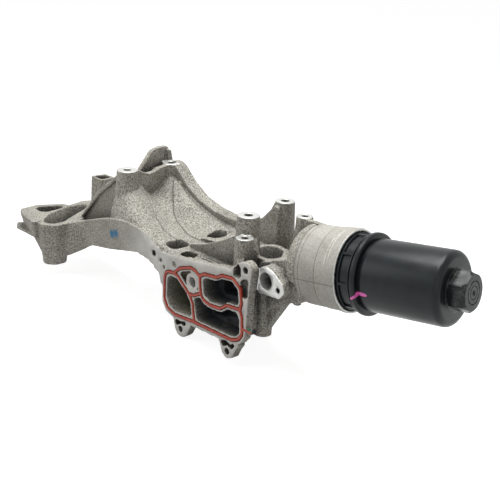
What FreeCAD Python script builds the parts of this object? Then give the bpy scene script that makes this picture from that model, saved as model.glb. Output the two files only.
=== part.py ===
import FreeCAD, Part
import math
import os

# Oil filter housing: cast bracket with cooler flange and cartridge canister, in millimetres.
# X runs along the bracket towards the cap, Y away from the cooler flange, Z up to the boss faces.
# The origin is the threaded centre hole of the cooler flange, on the flange face.
V = FreeCAD.Vector

# Cooler flange
flange_thick = 9.0
window_depth = 6.5
block_depth = 44.0
cavity_depth = 34.0
right_cavity_depth = 21.0
core_depth = 24.0
groove_width = 3.6
groove_depth = 2.0
bead_width = 3.2
bead_proud = 0.8
collar_r = 9.6
centre_hole_r = 5.4
lug_hole_r = 3.3
lug_holes = [(-65, 11), (79, 38), (57, -52.5), (-17, -57)]

# Bosses, each with x, y, height of its face, face radius and hole radius
boss_a1 = (-145, 21, 78, 11.5, 4.2)
boss_a2 = (-145, 80, 78, 10.0, 4.2)
boss_c = (47, 29, 78, 11.0, 4.3)
boss_c2 = (58.5, 15.5, 61, 8.5, 3.6)
boss_t = (32, 90, 78, 10.0, 4.3)
boss_s = (74.5, 76.5, 76, 8.2, 3.4)
boss_hole_depth = 24.0
rear_lug = (-248, 54, 40)
lug_hole_depth = 12.0
lug_bore_r = 3.4
foot_boss = (76, 28, -34, 8.8, 3.6)
well_top = 42.0
well_floor = 24.0
arm_rim = 0.0
arm_foot = -50.0
skirt_thick = 9.0
web = 7.0

# Sensor port
sensor = (95.3, 30.7)
sensor_screw = (112, 27)
sensor_face = 10.4
sensor_plate_t = 13.0
sensor_bore_r = 8.2
sensor_bore_depth = 14.0
sensor_screw_r = 2.7

# Oil ports in the rear of the block, as x and z
feed_port = (-20, -24)
return_port = (30, -27)
port_r = 8.0
port_floor = 33.0
port_face = 58.0
seal_out_r = 11.2
seal_depth = 2.2
seal_cord = 2.8

# Canister, along its own axis from the mouth plane (s = 0) towards the cap
mouth = V(160, 62, 50)
axis_yaw = 9.8
axis_rise = 6.5
body_r = 32.8
body_gap = 1.2
bore_r = body_r + body_gap
bore_floor = -50.0
mouth_wall = 4.4
mouth_r = bore_r + mouth_wall
thread_pitch = 4.0
thread_depth = 1.4
thread_length = 18.0
run_gap = 0.3
collar_edge = -44.0

# Cap moulding
collar_over = 1.3
collar_out_r = bore_r + collar_over
bead_over = 2.1
bead_r = collar_out_r + bead_over
cap_wall = 3.0
collar_end = 13.0
bead_end = 19.5
hex_base = 97.0
hex_end = 112.8
hex_flats = 32.0
windows = 8
window_recess = 1.7
window_rib = 2.6
skirt_end = -24.0

# Cartridge
media_gap = 3.8
media_r = body_r - cap_wall - media_gap
media_inner_r = 13.6
pleats = 44
media_start = -38.0
media_end = 70.0
disc_thick = 2.2
core_r = 12.6
core_wall = 1.6
pipe_r = 7.6
pipe_wall = 1.6
pipe_seal_r = 9.8
pipe_end = -14.0
pipe_seat = bore_floor - 8
drain_offset = 19.0
drain_pin_r = 3.6
drain_hole_r = 5.1
drain_tip = -54.0
bypass_port_r = 6.6
bypass_s0 = 50.0
cup_tube_end = media_end + disc_thick + 0.4

# Cap seal's groove
seal_s0 = -4.0
seal_s1 = -1.4
seal_in_r = bore_r - 1.1

# Return valve and plugs
check_ball_r = 5.2
check_seat_r = 4.2
plug_r = 6.0
plugs = [(-20, 20, -46), (36, 18, -43)]


def unit(a, b):
    """Unit vector from a to b in a plane, with the distance."""
    d = math.hypot(b[0] - a[0], b[1] - a[1])
    return (b[0] - a[0]) / d, (b[1] - a[1]) / d, d


def corner(p0, p1, p2, radius):
    """Start, middle and end of the arc that rounds corner p1, or the corner alone."""
    ax, ay, la = unit(p1, p0)
    bx, by, lb = unit(p1, p2)
    half = math.acos(max(-1.0, min(1.0, ax * bx + ay * by))) / 2
    radius = p1[2] if len(p1) > 2 else radius
    t = min(radius / math.tan(half), 0.45 * min(la, lb)) if half < 1.55 else 0.0
    if t < 0.05:
        return [p1[:2]]
    r = t * math.tan(half)
    sx, sy = ax + bx, ay + by
    k = math.hypot(sx, sy)
    reach = r / math.sin(half) - r
    mid = (p1[0] + sx / k * reach, p1[1] + sy / k * reach)
    return [(p1[0] + ax * t, p1[1] + ay * t), mid, (p1[0] + bx * t, p1[1] + by * t)]


def placed(p, axis, level):
    """A plane point on the plane where the named axis has the level."""
    if axis == "x":
        return V(level, p[0], p[1])
    if axis == "y":
        return V(p[0], level, p[1])
    return V(p[0], p[1], level)


def outline(points, axis, level, radius=0.0, closed=True):
    """Wire through the points with every corner rounded."""
    n = len(points)
    if closed:
        parts = [corner(points[i - 1], points[i], points[(i + 1) % n], radius) for i in range(n)]
    else:
        inner = [corner(points[i - 1], points[i], points[i + 1], radius) for i in range(1, n - 1)]
        parts = [[points[0]]] + inner + [[points[-1]]]
    edges = []
    for i, part in enumerate(parts):
        here = [placed(p, axis, level) for p in part]
        if len(here) == 3:
            edges.append(Part.Arc(*here).toShape())
        if closed or i < n - 1:
            there = placed(parts[(i + 1) % n][0], axis, level)
            if here[-1].distanceToPoint(there) > 0.001:
                edges.append(Part.makeLine(here[-1], there))
    return Part.Wire(edges)


def slab(points, axis, low, high, radius=0.0):
    """Flat body with the given outline between two levels of the named axis."""
    face = Part.Face(outline(points, axis, low, radius))
    return face.extrude(placed((0, 0), axis, high - low))


def drafted(low_points, high_points, low, high, radius):
    """Vertical body that tapers from one outline to another with as many corners."""
    wires = [outline(low_points, "z", low, radius), outline(high_points, "z", high, radius)]
    return Part.makeLoft(wires, True, True)


def band(points, width, low, high, radius, closed=True):
    """Strip of constant width along a path on the flange face."""
    wire = outline(points, "y", low, radius, closed)
    if closed:
        outer = Part.Face(wire.makeOffset2D(width / 2))
        inner = Part.Face(wire.makeOffset2D(-width / 2))
        return outer.cut(inner).extrude(V(0, high - low, 0))
    return Part.Face(wire.makeOffset2D(width / 2)).extrude(V(0, high - low, 0))


def post(x, y, top, bottom, r_top, r_bottom):
    """Drafted round boss with a vertical axis."""
    return Part.makeCone(r_bottom, r_top, top - bottom, V(x, y, bottom))


def turned(profile):
    """Solid of revolution of (distance, radius, rounding) points about the canister axis."""
    return Part.Face(outline(profile, "z", 0)).revolve(V(0, 0, 0), V(1, 0, 0), 360)


def ring(s0, s1, r_in, r_out):
    """Plain ring on the canister axis."""
    return turned([(s0, r_in), (s0, r_out), (s1, r_out), (s1, r_in)])


def on_canister(shape):
    """The shape moved from the canister's own frame to the bracket's frame."""
    moved = shape.copy()
    spot = FreeCAD.Placement(mouth, FreeCAD.Rotation(axis_yaw, -axis_rise, 0))
    moved.Placement = spot.multiply(shape.Placement)
    return moved


def canister_point(s, r=0.0, angle=0.0):
    """A point of the canister's own frame in the bracket's frame."""
    a = math.radians(angle)
    spot = FreeCAD.Placement(mouth, FreeCAD.Rotation(axis_yaw, -axis_rise, 0))
    return spot.multVec(V(s, r * math.cos(a), r * math.sin(a)))


def drilling(a, b, r):
    """Round drilling between two points."""
    return Part.makeCylinder(r, a.distanceToPoint(b), a, b - a)


# Steps cast into the dish, as x and y seen from above

pad_rise = 2.0
pad_edge = [(-131, 73), (-124, 67), (-102, 52), (-84.5, 43.5), (-60, 39.5), (-30, 40), (-24, 68), (-42, 73),
            (-78, 72), (-100, 72), (-124, 76)]
fold_rise = 1.0
fold_edge = [(-140, 30), (-128, 37), (-102, 28), (-77, 21), (-58, 23), (-30, 30), (-24, 70), (-100, 74),
             (-138, 74)]

# Flange face paths, as x and z

gasket_path = [(-45.5, -11), (-44, -4), (-39, -1), (-30, 0), (-21, 8), (-3, 14.5), (4, 14),
               (12, 10.5), (19, 15), (38, 17.5), (45, 22), (62, 24.5), (73, 18), (75.5, 4),
               (73.5, -3), (77, -10), (78, -27), (73, -34), (63, -38), (5, -41), (-27, -44.5),
               (-40, -41), (-45.5, -32)]
divider_left = [(-30, 0), (-23, -1), (-4, -14), (2, -22), (5, -41)]
divider_top = [(12, 10.5), (14, -6), (18, -12), (29, -14), (45, -12), (54, -5.5), (73.5, -3)]
divider_mid = [(-4, -14), (3, -13), (14, -7)]
cavity_left = [(-41, -9), (-36, -4.5), (-25, -4), (-9, -14), (-2, -22), (1, -37.5), (-27, -40.5),
               (-37, -37.5), (-41.5, -30)]
cavity_upper = [(17, 8), (21, 11.5), (37, 13.8), (45, 18.5), (60, 21), (69, 16), (71.5, 4),
                (69, -0.5), (55, -2), (46, -8.5), (29, -10.5), (19, -7)]
cavity_lower = [(3, -16), (13, -11.5), (19, -16), (29, -17.5), (46, -15.5), (55, -9),
                (69, -7.5), (73, -13), (74, -27), (68, -33), (61, -34.5), (9, -37.5), (5.5, -23)]
chamber = [(-20, 2.5), (-17, 6), (-3, 10.8), (3, 10.5), (9, 7), (10.5, -5), (4, -10.5),
           (-3, -10.5), (-11, -4.5)]


def gasket_bead(width, low, high):
    """The gasket's bead: the closed path and its three dividers."""
    loop = band(gasket_path, width, low, high, 5)
    for path in (divider_left, divider_top, divider_mid):
        loop = loop.fuse(band(path, width, low, high, 5, False))
    return loop


# The casting

def flange_plate():
    """Flange plate with its four lugs."""
    edge = [(-49.5, -20), (-55, -6), (-73, -1), (-80, 6), (-76, 22), (-62, 20), (-48, 15),
            (-30, 17), (-10, 22), (12, 25), (35, 29), (57, 33), (68, 42), (79, 47), (88, 42),
            (86.5, 28), (84.5, 12), (83.5, -19), (81, -31), (75, -38), (66, -43), (5, -46.5),
            (-27, -49.5), (-43, -45.5), (-49.5, -36)]
    plate = slab(edge, "y", 0, flange_thick, 6)
    right_lug = [(40, -40), (46, -47), (49.5, -56), (57, -60.5), (64.5, -57), (69, -48), (76, -38)]
    left_lug = [(-31, -44), (-26, -60), (-21, -65), (-13, -65), (-7, -60), (3, -42)]
    for lug in (right_lug, left_lug):
        plate = plate.fuse(slab(lug, "y", 0, flange_thick, 5))
    return plate


def skirt():
    """Front wall of the arm, arching from the flange to the foot of the arm."""
    edge = [(-50, -26), (-56, -7), (-73, 0), (-96, 2), (-122, -4), (-147, -10), (-185, -17),
            (-203, -25), (-222, -26), (-226, 1), (-210, 5), (-167, 20), (-140, 27), (-120, 30),
            (-95, 30), (-76, 28), (-63, 21), (-50, 14)]
    wires = []
    for x, front, low, high in ((-196, 0, -21, 8.5), (-212, -1.5, -31, 4), (-228, -11, -41, 0),
                                (-240, -26, -46, 0)):
        back = front + skirt_thick
        wires.append(outline([(front, low), (back, low), (back, high), (front, high)], "x", x, 1))
    return slab(edge, "y", 0, skirt_thick, 12).fuse(Part.makeLoft(wires, True, True))


def dish_section(y, points):
    """Closed wire of one cut across the dish, a web thick."""
    top = Part.BSplineCurve()
    top.interpolate([V(x, y, z) for x, z in points])
    low = Part.BSplineCurve()
    low.interpolate([V(x, y, z - web) for x, z in reversed(points)])
    (x0, z0), (x1, z1) = points[0], points[-1]
    right = Part.makeLine(V(x1, y, z1), V(x1, y, z1 - web))
    left = Part.makeLine(V(x0, y, z0 - web), V(x0, y, z0))
    return Part.Wire([top.toShape(), right, low.toShape(), left])


def dish():
    """Concave sheet from the boss ridge down to the flange block."""
    cuts = [(2, [(-150, 25), (-124, 29.5), (-100, 30), (-80, 28), (-62, 22), (-45, 18), (-12, 20)]),
            (20, [(-150, 70), (-128, 53), (-103, 36.5), (-80, 29), (-58, 23), (-38, 21), (-12, 21)]),
            (34, [(-150, 68), (-128, 49.5), (-103, 35), (-80, 28.5), (-58, 23), (-38, 22), (-12, 23)]),
            (50, [(-150, 49), (-128, 42), (-103, 35), (-80, 30.5), (-59, 26), (-38, 26), (-12, 27)]),
            (61, [(-150, 55), (-127, 49), (-102, 40.5), (-80, 34.5), (-59, 30), (-38, 29), (-12, 30)]),
            (72, [(-150, 66), (-125, 58), (-100, 46.5), (-79, 39.5), (-58, 35), (-38, 33), (-12, 34)]),
            (88, [(-150, 71), (-125, 61), (-100, 47), (-79, 39), (-58, 35), (-38, 34), (-12, 36)])]
    sheet = Part.makeLoft([dish_section(y, pts) for y, pts in cuts], True, False)
    pads = []
    for rise, edge in ((pad_rise, pad_edge), (fold_rise, fold_edge)):
        raised = sheet.translated(V(0, 0, rise))
        pads.append(raised.common(slab(edge, "z", 0, 100, 5)))
    return sheet.fuse(pads)


def back_wall():
    """Wall behind the dish, with the raised rim that runs on to the tall boss."""
    edge = [(-150, 20), (-152, 78), (-140, 80), (-131, 77), (-112, 62), (-90, 50.5), (-64, 45),
            (-38, 43.5), (-12, 46), (6, 54), (18, 66), (24, 77), (34, 77), (36, 10), (-10, 6),
            (-60, 14), (-100, 26), (-124, 34)]
    wall = slab(edge, "y", 84, 91, 8)
    rim = [(-140, 78), (-131, 75.5), (-112, 60.5), (-90, 49.5), (-64, 44), (-38, 42.5), (-16, 44.5),
           (-18, 34), (-60, 30), (-96, 42), (-126, 60), (-142, 66)]
    return wall.fuse(slab(rim, "y", 77, 90, 6))


def ridge():
    """Wall between the two left bosses, scalloped at the top, with the fin behind it."""
    edge = [(12, 0), (12, 70), (22, 76.5), (33, 76.5), (39.5, 73.5), (45, 71), (52, 71.5), (60, 75),
            (70, 77), (88, 77), (88, 10)]
    wall = slab(edge, "x", -147, -140, 5)
    foot = slab([(12, 0), (12, 62), (30, 64), (46, 60), (60, 64), (88, 66), (88, 10)], "x", -155, -146, 5)
    fin = slab([(40, 60), (44, 72), (60, 92), (70, 94.5), (81, 94.5), (86, 84), (86, 50)], "x",
               -160, -154, 3)
    lip = slab([(81, 50), (79, 92), (84, 90), (87, 76), (87, 50)], "x", -158, -151, 1)
    return wall.fuse([foot, fin, lip])


def arm_ribs():
    """Ribs that carry the left bosses down to the arm."""
    front = [(-140, 76), (-156, 72), (-196, 43), (-236, 2), (-236, -12), (-196, -8), (-140, 8)]
    rear = [(-146, 74), (-158, 70), (-196, 34), (-240, 12), (-262, 10), (-262, -18), (-196, -6),
            (-146, 10)]
    floor_edge = [(-238, -12), (-196, -4), (-146, 14), (-146, 22), (-196, 4), (-238, -4)]
    strip = [(-146, 76), (-156, 72), (-196, 43), (-236, 2), (-236, -3), (-195, 38), (-155, 67),
             (-146, 71)]
    return slab(front, "y", 20, 26, 5).fuse([slab(strip, "y", 17, 29, 2), slab(rear, "y", 62, 68, 5),
                                             slab(floor_edge, "y", 4, 66, 2)])


def arm_end():
    """End of the arm: two open wells, the drafted foot, the box end and its thin lug."""
    rim = [(-238, -34), (-251, -32), (-271, -12), (-290, 52), (-284, 66), (-262, 70), (-238, 48),
           (-226, 8), (-222, -22)]
    low = [(-238, -30), (-248, -28), (-262, -12), (-280, 50), (-276, 60), (-262, 62), (-244, 44),
           (-234, 8), (-228, -20)]
    body = drafted(low, rim, -24, arm_rim, 7)
    foot_top = [(-236, -35), (-249, -34), (-262, -18), (-257, 0), (-240, 5), (-224, -6), (-223, -24)]
    foot_low = [(-237, -30), (-247, -29), (-253, -18), (-250, -5), (-239, -1), (-229, -8),
                (-228, -22)]
    foot = drafted(foot_low, foot_top, arm_foot, arm_rim, 8)
    box_rim = [(-246, -41), (-286, -35), (-298, -28), (-301, -4), (-288, 24), (-270, 30), (-244, -20)]
    box_low = [(-250, -37), (-284, -30), (-293, -24), (-295, -4), (-284, 20), (-270, 24), (-246, -20)]
    box = drafted(box_low, box_rim, -19, arm_rim + 1.5, 4)
    lug = slab([(-250, -37), (-290, -38), (-304, -30), (-296, -20), (-250, -10)], "z", -19.5, -16.5, 3)
    gusset = slab([(-250, -42), (-282, -18), (-250, -14)], "y", -27, -22, 2)
    return body.fuse([foot, box, lug, gusset])


def lug_box(inset, low, high):
    """Four-sided drafted block about the rear lug's centre."""
    x, y, _ = rear_lug
    sides = [(-11.5, -9), (-10, 11), (9, 12), (12, -8)]
    top = [(x + a * (1 - inset / 11), y + b * (1 - inset / 11)) for a, b in sides]
    foot = [(x + a * (1 - inset / 11) * 1.12, y + b * (1 - inset / 11) * 1.12) for a, b in sides]
    if inset:
        foot = [(x + a * (1 - inset / 11) * 0.9, y + b * (1 - inset / 11) * 0.9) for a, b in sides]
    return drafted(foot, top, low, high, 3)


def arm_wells():
    """The arm's open wells, and the pocket and hole in its rear lug."""
    main = [(-238, -28), (-248, -26), (-264, -8), (-281, 40), (-274, 50), (-262, 40), (-242, 8),
            (-231, -8), (-230, -22)]
    inner = [(-239, -26), (-246, -24), (-258, -8), (-274, 38), (-270, 44), (-262, 36), (-246, 8),
             (-236, -8), (-234, -20)]
    well = drafted(inner, main, -18, arm_rim + 3, 7)
    bottom = drafted([(-240, -19), (-245, -18), (-247, -13), (-243, -9), (-237, -11), (-236, -16)],
                     [(-238, -25), (-248, -23), (-254, -12), (-247, -1), (-236, -4), (-232, -18)],
                     arm_foot + 6, -17, 4)
    side = slab([(-290, -13), (-293, -5), (-284, 17), (-276, 18), (-273, 8), (-270, -8), (-276, -14)],
                "z", -14, arm_rim + 4, 4)
    x, y, top = rear_lug
    hole = Part.makeCylinder(lug_bore_r, lug_hole_depth + 1, V(x, y, top - 14 - lug_hole_depth))
    return [well, bottom, side, lug_box(3.2, top - 14, top + 0.5), hole]


def flange_block():
    """Block behind the flange plate, with the trough wall and the small boss on top."""
    shoulder = [(-53, -9), (-66, -5), (-66, 14), (-48, 17), (-12, 21), (30, 22)]
    front = [(-48, -40), (-49, -18)] + shoulder + [(75, 24), (77, -24), (71, -36), (5, -42), (-28, -45)]
    rear = [(-46, -38), (-48, -18)] + shoulder + [(68, 23), (68, -16), (54, -26), (28, -38), (5, -41),
                                                  (-28, -43)]
    block = slab(front, "y", 0, core_depth, 6).fuse(slab(rear, "y", 10, block_depth, 6))
    wall = slab([(-38, 18), (-34, 26), (-12, 32), (18, 45.5), (38, 56.5), (60, 58), (66, 40), (66, 12)],
                "y", 23, 30, 5)
    side = slab([(4, 18), (4, 37), (9, 44), (18, 50), (26, 50), (26, 18)], "x", 60, 66, 4)
    x, y, top, r, _ = boss_c2
    return block.fuse([wall, side, post(x, y, top, 10, r, r + 1.5)])


def top_pockets():
    """Core-outs in the top of the block and in the foot of the dish."""
    first = drafted([(-55, 9), (-55, 26), (-42, 27), (-42, 9)],
                    [(-58, 6), (-59, 29), (-39, 30), (-38, 6)], 4, 30, 6)
    second = slab([(-30, 6), (-30, 19), (-14, 20), (-12, 6)], "z", 6, 40, 4)
    third = drafted([(-40, 47), (-39, 62), (-26, 66), (-24, 50)],
                    [(-45, 44), (-44, 66), (-23, 70), (-20, 46)], 12, 60, 7)
    slot = slab([(-36, 31.5), (-37, 38), (-14, 37), (-12, 31.5)], "z", 14, 40, 2)
    trough = slab([(-14, 7), (-12, 22), (33, 22), (36, 7)], "z", 19.5, 60, 4)
    notch = slab([(62, 27), (62, 37), (68, 42), (72, 38), (73, 30), (70, 27)], "y", -1, 9, 1.5)
    relief = slab([(73, 11), (72, 24), (75, 28), (82, 30), (84, 28), (84, 14), (80, 10)], "y",
                  -1, 5, 2)
    return [first, second, third, slot, trough, notch, relief]


def trough_ribs():
    """Low ribs on the trough's floor, cast with it."""
    return [slab([(4, 18), (4, 22.5), (36, 23.5), (36, 18)], "y", 10, 12.5, 1),
            slab([(-8, 18), (-8, 21.5), (34, 22.5), (34, 18)], "y", 16, 18, 1)]


def right_side():
    """Body between the flange block and the canister, with its bosses and the open well."""
    link = slab([(58, -12), (84, -6), (98, 4), (111, 13), (117, 24), (113, 42), (88, 45), (74, 40), (66, 24)],
                "y", 23, 74, 8)
    foot_x, foot_y, foot_z, foot_r, _ = foot_boss
    leg_web = slab([(74, -30), (82, -29), (106, 6), (112, 14), (112, 20), (72, 20)], "y", 25, 33, 3)
    base = drafted([(30, 46), (30, 76), (56, 76), (56, 46)],
                   [(23, 48), (23, 81), (61, 81), (61, 48)], -14, 27, 9)
    well = drafted([(46, 28), (42, 50), (50, 62), (66, 58), (78, 44), (76, 26)],
                   [(48, 25), (41, 51), (49, 66), (70, 64), (85, 46), (82, 26)], -6, well_top, 9)
    pieces = [link, leg_web, base, well, post(foot_x, foot_y, 12, foot_z, foot_r + 1.2, foot_r)]
    for x, y, top, r, _ in (boss_c, boss_t, boss_s):
        pieces.append(post(x, y, top, -6 if x < 50 else 20, r, r + 3))
    t_rib = slab([(2, 30), (4, 48), (10, 54), (17, 60), (24.5, 67), (30, 74), (36, 74), (36, 30)], "y",
                 77, 87, 3)
    s_rib = slab([(70, 40), (72, 75), (82, 75), (110, 76), (152, 86), (152, 60), (110, 45)], "y",
                 71, 77, 3)
    r = mouth_r
    collar = turned([(-54, r - 12.4), (-54, r - 3.9), (-50, r - 1.4, 1.5), (collar_edge, r, 1),
                     (collar_edge, bore_r), (-50, r - 12.4)])
    sector = slab([(0, 0), (70, 16), (70, -44), (0, -44)], "x", -80, -20)
    sector.rotate(V(0, 0, 0), V(1, 0, 0), 180)
    collar = on_canister(collar.common(sector))
    gusset = slab([(86, -2), (112, 10), (118, 14.5), (126, 15), (130.3, 20), (130, 44), (127.5, 53),
                   (119.5, 55.5), (104, 52), (88, 46)], "y", 22.5, 50, 4)
    nub = post(118, 30.5, 18, 10.5, 4.4, 3.8)
    pocket_link = slab([(-40, 6), (-40, 28), (-12, 31), (20, 30), (40, 26), (38, -12), (0, -12)],
                       "y", 40, 88, 6)
    vx, vz = return_port
    port = Part.makeCylinder(seal_out_r + 3, port_face - 36, V(vx, 36, vz), V(0, 1, 0))
    return pieces + [t_rib, s_rib, collar, gusset, nub, pocket_link, port]


def sensor_port():
    """Teardrop flange and round boss of the sensor port."""
    edge = [(96, 44.8), (105, 42.3), (118, 34.4), (120.4, 26.5), (114, 19.2), (86.4, 16.2),
            (82.8, 24.6), (83.6, 36.4), (88.8, 42.8)]
    plate = slab(edge, "y", sensor_face, sensor_face + sensor_plate_t, 4)
    x, z = sensor
    boss = Part.makeCone(11.5, 14, 24, V(x, sensor_face, z), V(0, 1, 0))
    sx, sz = sensor_screw
    return plate.fuse([boss, Part.makeCylinder(6.5, sensor_plate_t + 5, V(sx, sensor_face, sz), V(0, 1, 0))])


def canister_shell():
    """Outside of the canister: drafted barrel with two steps and a rolled mouth."""
    r = mouth_r
    return turned([(-65, 0), (-65, 15, 4), (-60, r - 10.4, 12), (-47, r - 2.8, 12), (-43.5, r - 2.6),
                   (-43, r - 1.5, 0.4), (-40.4, r - 1.2, 0.4), (-40, r - 1.8), (-39, r - 1.8),
                   (-38.4, r - 1.2, 0.4), (-23, r - 1.1), (-22.4, r - 1.7), (-21.8, r - 1.7),
                   (-21.2, r - 0.8, 0.3), (-7, r - 0.6), (-3.5, r, 1.5), (0, r, 0.8), (0, 0)])


def canister_bore():
    """Inside of the canister: chamber, thread bore, mouth and the standpipe's seat."""
    crest = bore_r
    root = bore_r + thread_depth
    profile = [(0.5, 0), (0.5, crest + 2.2), (-2.5, crest + 1.7), (-3.5, root)]
    s = -5.0
    while s > -5.0 - thread_length:
        profile += [(s, root), (s - 1.0, crest), (s - 1.6, crest), (s - 2.6, root)]
        s -= thread_pitch
    profile += [(-26, root), (-27.5, bore_r - 1), (bore_floor + 6, bore_r - 1.6),
                (bore_floor, bore_r - 7), (bore_floor, 0)]
    seat = turned([(bore_floor + 1, 0), (bore_floor + 1, pipe_r), (pipe_seat, pipe_r),
                   (pipe_seat, 0)])
    drain = Part.makeCylinder(drain_hole_r, 9, V(drain_tip - 3, 0, -drain_offset), V(1, 0, 0))
    return turned(profile).fuse([seat, drain])


def oil_ways():
    """Drillings from the flange cavities to the canister and to the ports behind."""
    into = drilling(V(50, 32, 8), canister_point(-40, 20, 200), 6.5)
    out = drilling(V(44, 30, -16), canister_point(bore_floor - 2), 6.0)
    px, pz = feed_port
    feed = Part.makeCylinder(port_r, 26, V(px, cavity_depth - 8, pz), V(0, 1, 0))
    vx, vz = return_port
    back = Part.makeCylinder(port_r, 60, V(vx, port_floor, vz), V(0, 1, 0))
    small = drilling(V(-15.5, 0, 3), V(-15.5, 22, -12), 2.6)
    deep = [slab([(24, -7), (44, -5), (58, 2), (58, 14), (42, 11), (24, 7)], "y", 10, 34, 3),
            slab([(10, -17), (30, -20), (48, -18), (50, -24), (26, -33), (10, -34)], "y", 10, 34, 3)]
    return [into, out, feed, back, small] + deep


def port_seats():
    """Seal seats round the two ports in the block's rear face."""
    cuts = []
    for (x, z), y in ((feed_port, block_depth), (return_port, port_face)):
        seat = Part.makeCylinder(seal_out_r, 3, V(x, y - seal_depth, z), V(0, 1, 0))
        cuts.append(seat)
    return cuts


def flange_cuts():
    """Cavities, gasket groove, centre chamber with its collar, lug holes and lug windows."""
    cuts = [slab(cavity_left, "y", -1, cavity_depth, 5)]
    cuts += [slab(path, "y", -1, right_cavity_depth, 4) for path in (cavity_upper, cavity_lower)]
    ring_cut = slab(chamber, "y", -1, 4, 3)
    cuts.append(ring_cut.cut(Part.makeCylinder(collar_r, 6, V(0, -2, 0), V(0, 1, 0))))
    cuts.append(Part.makeCylinder(centre_hole_r, 27, V(0, -1, 0), V(0, 1, 0)))
    for x, z in lug_holes:
        cuts.append(Part.makeCylinder(lug_hole_r, flange_thick + 12, V(x, -1, z), V(0, 1, 0)))
    cuts.append(slab([(47, -46.5), (49, -43), (55, -42), (62, -43.5), (66, -41), (68, -43),
                      (64, -48), (57, -46), (51, -49.5)], "y", -1, window_depth, 2))
    cuts.append(slab([(-27, -52), (-25, -48.5), (-17, -48.5), (-10, -46), (-8, -48), (-11, -51.5),
                      (-17, -51), (-24, -55)], "y", -1, window_depth, 1.6))
    for x, z, r in ((-53, 7, 2.2), (-47, 1, 2.0), (-30, 9.5, 3.2)):
        cuts.append(Part.makeCylinder(r, 2.5, V(x, -1, z), V(0, 1, 0)))
    cuts.append(gasket_bead(groove_width, -1, groove_depth))
    return cuts


def boss_holes():
    """Holes of the vertical bosses and of the sensor port."""
    cuts = []
    for x, y, top, _, r in (boss_a1, boss_a2, boss_c, boss_c2, boss_t, boss_s):
        cuts.append(Part.makeCylinder(r, boss_hole_depth, V(x, y, top - boss_hole_depth + 1)))
    x, y, low, _, r = foot_boss
    cuts.append(Part.makeCylinder(r, 21, V(x, y, low - 1)))
    sx, sz = sensor
    cuts.append(Part.makeCylinder(sensor_bore_r, sensor_bore_depth + 1, V(sx, sensor_face - 1, sz),
                                  V(0, 1, 0)))
    hx, hz = sensor_screw
    cuts.append(Part.makeCylinder(sensor_screw_r, 12, V(hx, sensor_face - 1, hz), V(0, 1, 0)))
    cuts.append(drafted([(57, 38), (53, 50), (58, 56), (64, 54), (71, 45), (69, 36)],
                        [(52, 30), (46, 52), (52, 61), (67, 59), (79, 45), (77, 31)],
                        well_floor, well_top + 0.5, 8))
    return cuts


def housing_casting():
    """The one cast piece: bracket arm, flange block, bosses and canister."""
    body = flange_plate()
    solids = [skirt(), dish(), back_wall(), ridge(), arm_ribs(), arm_end(), flange_block()]
    for x, y, top, r, _ in (boss_a1, boss_a2):
        solids.append(post(x, y, top, 6, r, r + 3))
    solids.append(lug_box(0, -14, rear_lug[2]))
    solids += right_side() + [sensor_port(), on_canister(canister_shell())]
    body = body.fuse(solids)
    cuts = top_pockets() + flange_cuts() + boss_holes() + arm_wells() + oil_ways() + port_seats()
    cuts += plug_seats(plug_r, 12)
    cuts.append(on_canister(canister_bore()))
    body = body.cut(cuts)
    return body.fuse(trough_ribs()).removeSplitter()


# The cap, its seal and the cartridge, in the canister's own frame

def hexagon(s0, s1, flats):
    """Hexagonal bar along the canister axis."""
    r = flats / math.sqrt(3)
    corners = [V(s0, r * math.sin(k * math.pi / 3), r * math.cos(k * math.pi / 3))
               for k in range(6)]
    return Part.Face(Part.makePolygon(corners + corners[:1])).extrude(V(s1 - s0, 0, 0))


def around(shape, count):
    """Copies of the shape, evenly spaced round the canister axis."""
    copies = []
    for k in range(count):
        one = shape.copy()
        one.rotate(V(0, 0, 0), V(1, 0, 0), 360.0 * k / count)
        copies.append(one)
    return copies


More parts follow.
